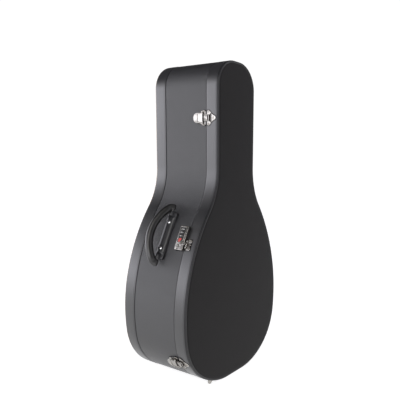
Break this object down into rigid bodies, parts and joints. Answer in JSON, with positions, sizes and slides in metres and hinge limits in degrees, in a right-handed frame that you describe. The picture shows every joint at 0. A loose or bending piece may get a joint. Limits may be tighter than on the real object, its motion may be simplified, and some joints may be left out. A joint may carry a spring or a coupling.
{
  "type": "hard instrument case",
  "caption": "Upright pear-shaped hard case for a bowl-backed lute-type instrument, with hinged lid, draw latches, combination lock with hasp, folding handle and lined interior.",
  "frame": {"origin": "middle of the flat land on the tail, at half depth of the shell and on its plane of symmetry", "axes": "+Z along the case towards the head end, -Y out of the lid face, +X towards the hinge side; the handle, lock and latches are at -X"},
  "size_m": [0.399, 0.2048, 0.8],
  "materials": {
    "plywood": "bare birch plywood",
    "side_tolex": "fine-grained black leathercloth",
    "strip_vinyl": "smooth satin black leathercloth",
    "back_tolex": "fine-grained black leathercloth",
    "face_vinyl": "smooth matt black leathercloth",
    "welt_vinyl": "ribbed black welt",
    "plush": "deep red plush",
    "valance_metal": "satin",
    "steel_pin": "plain",
    "tab_leather": "soft tab",
    "nickel": "nickel plate, polished",
    "nickel_rivet": "nickel plate, polished",
    "nickel_pin": "nickel plate",
    "hinge_nickel": "nickel plate, light brushing",
    "handle_black": "black moulding, semi-gloss",
    "handle_base_black": "black moulding, semi-gloss",
    "screw_chrome": "chromed",
    "dial_black": "black with white digits",
    "index_red": "red"
  },
  "bodies": {
    "body": {"back_board": "plywood", "back_covering": "back_tolex", "back_edge_binding": "strip_vinyl", "body_lining": "plush", "body_wall": "plywood", "compartment_cleats": "plywood", "compartment_divider": "plywood", "compartment_hinge_pin": "steel_pin", "handle_base": "handle_base_black", "handle_pins": "steel_pin", "handle_screws": "screw_chrome", "hinge_body_rivets": "nickel_rivet", "hinge_lower_body_leaf": "hinge_nickel", "hinge_pins": "steel_pin", "hinge_upper_body_leaf": "hinge_nickel", "latch_neck_base": "nickel", "latch_neck_pins": "nickel_pin", "latch_neck_rivets": "nickel_rivet", "latch_tail_base": "nickel", "latch_tail_pins": "nickel_pin", "latch_tail_rivets": "nickel_rivet", "lock_dial_axle": "steel_pin", "lock_housing": "nickel", "lock_index_mark": "index_red", "lock_rivets": "nickel_rivet", "neck_cradle": "plush", "side_covering": "side_tolex", "valance_frame": "valance_metal"},
    "lid": {"lid_rim": "plywood", "lid_board": "plywood", "lid_rim_covering": "strip_vinyl", "lid_edge_welt": "welt_vinyl", "lid_face_covering": "face_vinyl", "lid_lining": "plush", "lid_glides": "nickel", "hinge_lower_lid_leaf": "hinge_nickel", "hinge_upper_lid_leaf": "hinge_nickel", "hinge_lid_rivets": "nickel_rivet", "latch_neck_catch": "nickel", "latch_neck_catch_rivets": "nickel_rivet", "latch_tail_catch": "nickel", "latch_tail_catch_rivets": "nickel_rivet", "hasp_plate": "nickel", "hasp_pin": "steel_pin", "hasp_rivets": "nickel_rivet"},
    "hasp": {"hasp_arm": "nickel"},
    "neck_lever": {"latch_neck_lever": "nickel", "latch_neck_bail_pin": "nickel_pin"},
    "neck_bail": {"latch_neck_bail": "nickel"},
    "tail_lever": {"latch_tail_lever": "nickel", "latch_tail_bail_pin": "nickel_pin"},
    "tail_bail": {"latch_tail_bail": "nickel"},
    "handle": {"handle_grip": "handle_black"},
    "dial_1": {"lock_dial_1": "dial_black"},
    "dial_2": {"lock_dial_2": "dial_black"},
    "dial_3": {"lock_dial_3": "dial_black"},
    "slider": {"lock_slider": "nickel"},
    "compartment_cover": {"compartment_lid": "plush", "compartment_tab": "tab_leather"}
  },
  "joints": [
    {"name": "lid_hinge", "type": "hinge", "parent": "body", "child": "lid", "pos_m": [0.1974, -0.0662, 0.1825], "axis": [0, 0, 1], "range_deg": [0, 110]},
    {"name": "neck_latch_lever", "type": "hinge", "parent": "body", "child": "neck_lever", "pos_m": [-0.0787, -0.0572, 0.6615], "axis": [0, 0, 1], "range_deg": [0, 100]},
    {"name": "neck_latch_bail", "type": "hinge", "parent": "neck_lever", "child": "neck_bail", "pos_m": [-0.0781, -0.0492, 0.6615], "axis": [0, 0, 1], "range_deg": [-120, 0]},
    {"name": "tail_latch_lever", "type": "hinge", "parent": "body", "child": "tail_lever", "pos_m": [-0.17698, -0.0572, 0.07795], "axis": [-0.4853, 0, 0.8743], "range_deg": [0, 100]},
    {"name": "tail_latch_bail", "type": "hinge", "parent": "tail_lever", "child": "tail_bail", "pos_m": [-0.17645, -0.0492, 0.07824], "axis": [-0.4853, 0, 0.8743], "range_deg": [-120, 0]},
    {"name": "lock_dial_1_turn", "type": "hinge", "parent": "body", "child": "dial_1", "pos_m": [-0.14239, -0.053, 0.39824], "axis": [0.4478, 0, 0.8941], "continuous": true},
    {"name": "lock_dial_2_turn", "type": "hinge", "parent": "body", "child": "dial_2", "pos_m": [-0.14615, -0.053, 0.39073], "axis": [0.4478, 0, 0.8941], "continuous": true},
    {"name": "lock_dial_3_turn", "type": "hinge", "parent": "body", "child": "dial_3", "pos_m": [-0.14991, -0.053, 0.38322], "axis": [0.4478, 0, 0.8941], "continuous": true},
    {"name": "lock_release", "type": "slide", "parent": "body", "child": "slider", "axis": [-0.4478, 0, -0.8941], "range_m": [0, 0.005], "stiffness_N_per_m": 60, "springref_m": -0.001},
    {"name": "hasp_lift", "type": "hinge", "parent": "lid", "child": "hasp", "pos_m": [-0.14929, -0.0722, 0.37866], "axis": [0.4478, 0, 0.8941], "range_deg": [0, 100]},
    {"name": "handle_swing", "type": "hinge", "parent": "body", "child": "handle", "pos_m": [-0.15151, 0, 0.38203], "axis": [0.4517, 0, 0.8922], "range_deg": [0, 106]},
    {"name": "compartment_lid_hinge", "type": "hinge", "parent": "body", "child": "compartment_cover", "pos_m": [0, 0.0283, 0.689], "axis": [-1, 0, 0], "range_deg": [0, 92]}
  ],
  "couplings": [
    {"joint": "neck_latch_bail", "follows": "neck_latch_lever", "ratio": -1.2},
    {"joint": "tail_latch_bail", "follows": "tail_latch_lever", "ratio": -1.2}
  ]
}
